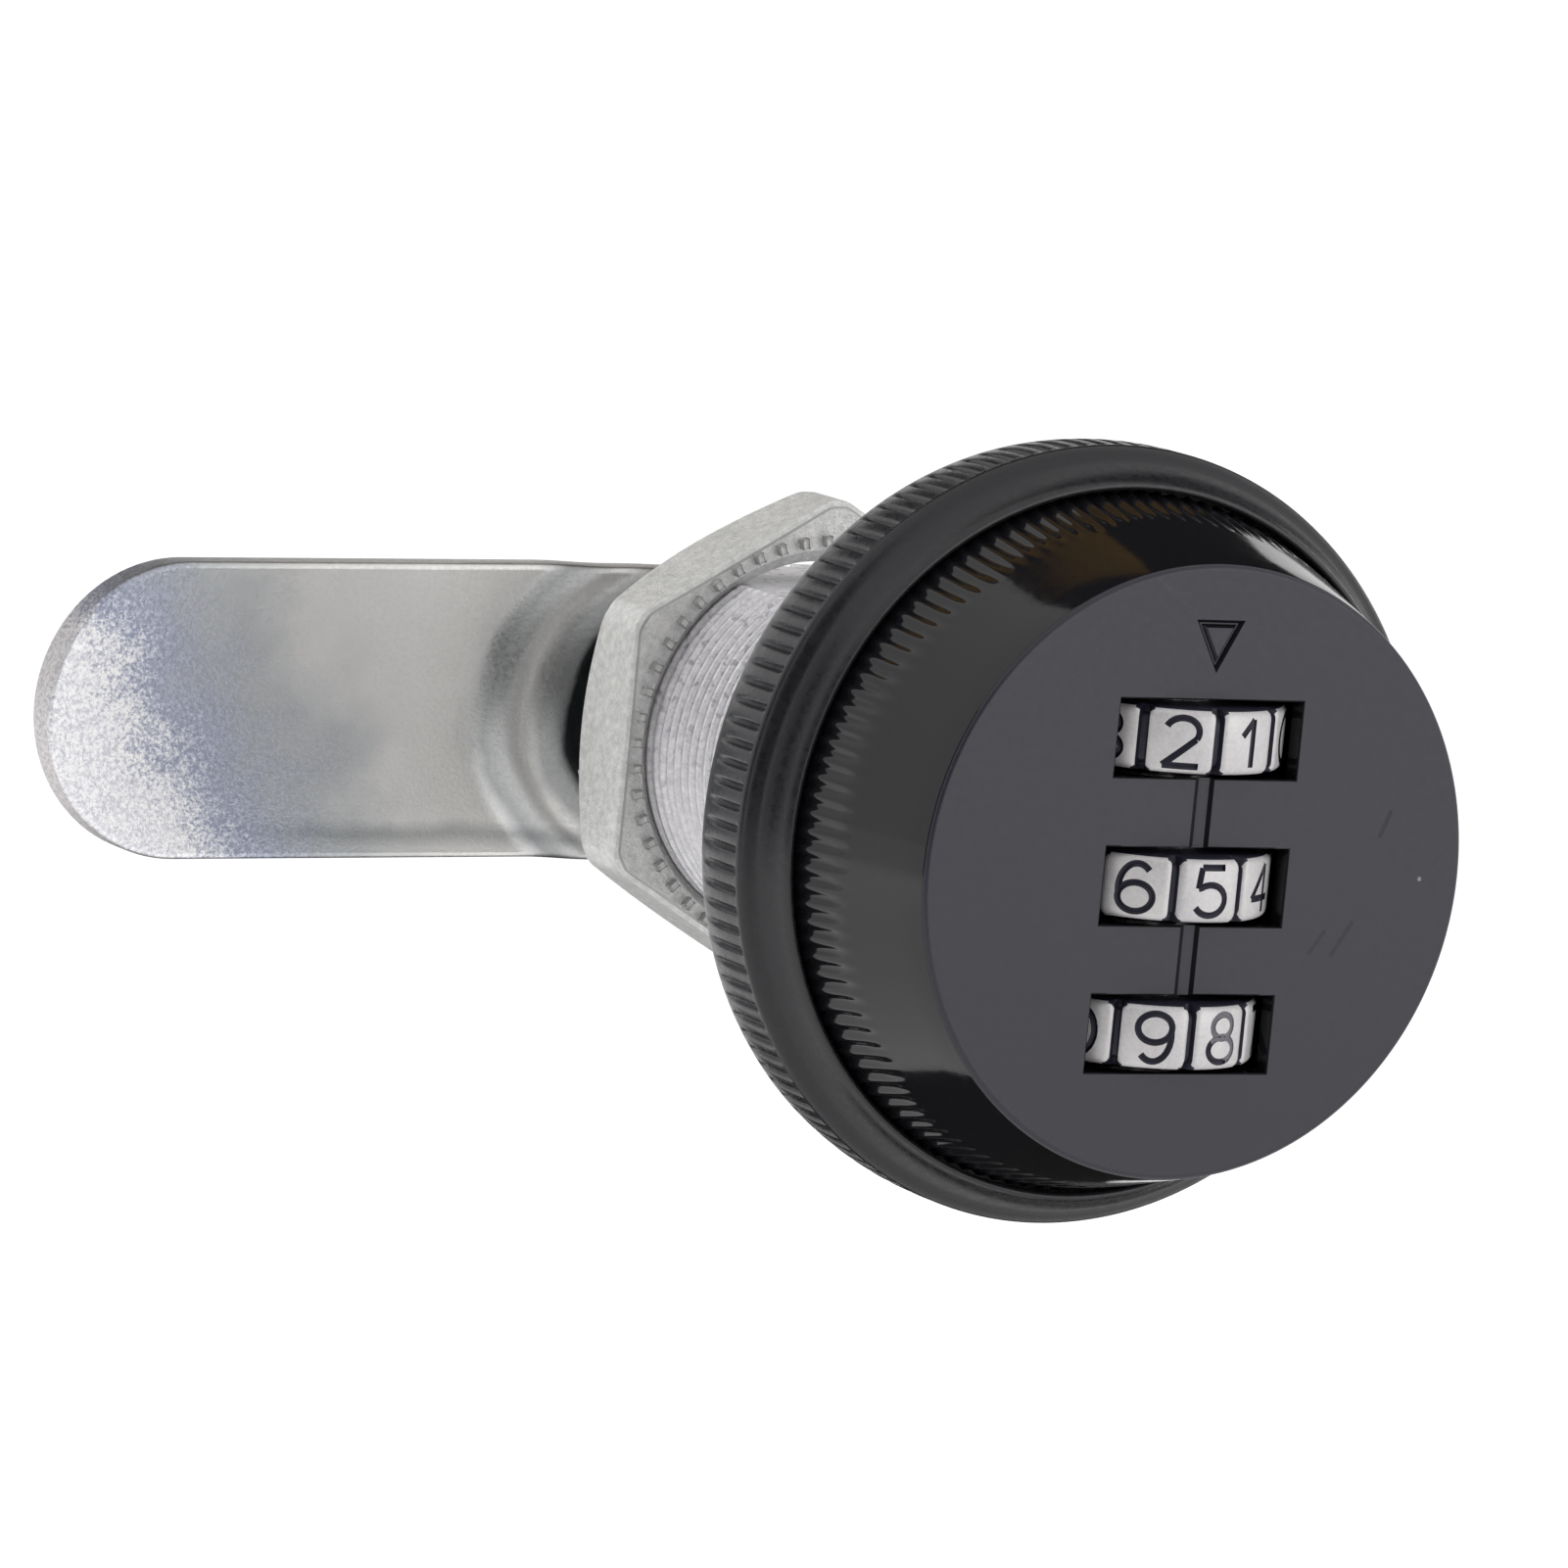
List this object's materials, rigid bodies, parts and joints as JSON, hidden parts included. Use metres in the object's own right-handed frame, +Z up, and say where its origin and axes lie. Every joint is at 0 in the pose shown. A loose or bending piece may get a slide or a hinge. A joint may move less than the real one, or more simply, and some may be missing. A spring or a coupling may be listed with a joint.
{
  "type": "combination locker lock",
  "caption": "Round knob combination cam lock with number wheels in the knob, a threaded barrel with nut and a cranked cam behind.",
  "frame": {"origin": "on the lock's axis, in the plane where the bezel bears on the front of the door panel", "axes": "+Y along the axis from the panel towards the cam, so the knob faces -Y; +X to the right seen from the front; +Z up"},
  "size_m": [0.0565, 0.0559, 0.038],
  "materials": {
    "black_moulding": "satin black face, glossier tapered side",
    "carrier_moulding": "plain moulded",
    "silver_wheel": "silver lacquered moulding",
    "cast_zinc": "die-cast zinc, bright and slightly rough",
    "zinc_plate": "zinc-plated steel",
    "spring_steel": "bright spring steel"
  },
  "bodies": {
    "housing": {"barrel": "cast_zinc", "bezel_ring": "black_moulding", "mounting_nut": "cast_zinc"},
    "knob": {"knob_shell": "black_moulding", "dial_carrier": "carrier_moulding", "carrier_screw_left": "zinc_plate", "carrier_screw_right": "zinc_plate", "dial_axle": "spring_steel", "axle_spring": "spring_steel", "detent_spring": "spring_steel", "spindle": "cast_zinc", "retaining_clip": "spring_steel", "stop_washer": "zinc_plate", "cam": "zinc_plate", "cam_washer": "zinc_plate", "spring_washer": "spring_steel", "cam_screw": "zinc_plate", "bolt_spring": "spring_steel"},
    "bolt": {"locking_bolt": "zinc_plate"},
    "wheel_1": {"number_wheel_1": "silver_wheel", "code_sleeve_1": "cast_zinc"},
    "wheel_2": {"number_wheel_2": "silver_wheel", "code_sleeve_2": "cast_zinc"},
    "wheel_3": {"number_wheel_3": "silver_wheel", "code_sleeve_3": "cast_zinc"}
  },
  "joints": [
    {"name": "knob_turn", "type": "hinge", "parent": "housing", "child": "knob", "pos_m": [0, 0, 0], "axis": [0, 1, 0], "range_deg": [0, 90]},
    {"name": "bolt_lift", "type": "slide", "parent": "knob", "child": "bolt", "axis": [0, -1, 0], "range_m": [0, 0.0008], "deforming": ["bolt_spring"]},
    {"name": "wheel_1_turn", "type": "hinge", "parent": "knob", "child": "wheel_1", "pos_m": [0, -0.0101, 0.00646], "axis": [0, 0, 1], "continuous": true},
    {"name": "wheel_2_turn", "type": "hinge", "parent": "knob", "child": "wheel_2", "pos_m": [0, -0.0101, -0.00064], "axis": [0, 0, 1], "continuous": true},
    {"name": "wheel_3_turn", "type": "hinge", "parent": "knob", "child": "wheel_3", "pos_m": [0, -0.0101, -0.00774], "axis": [0, 0, 1], "continuous": true}
  ],
  "couplings": [
    {"joint": "bolt_lift", "follows": "knob_turn", "m_per_rad": 0.0005093}
  ]
}
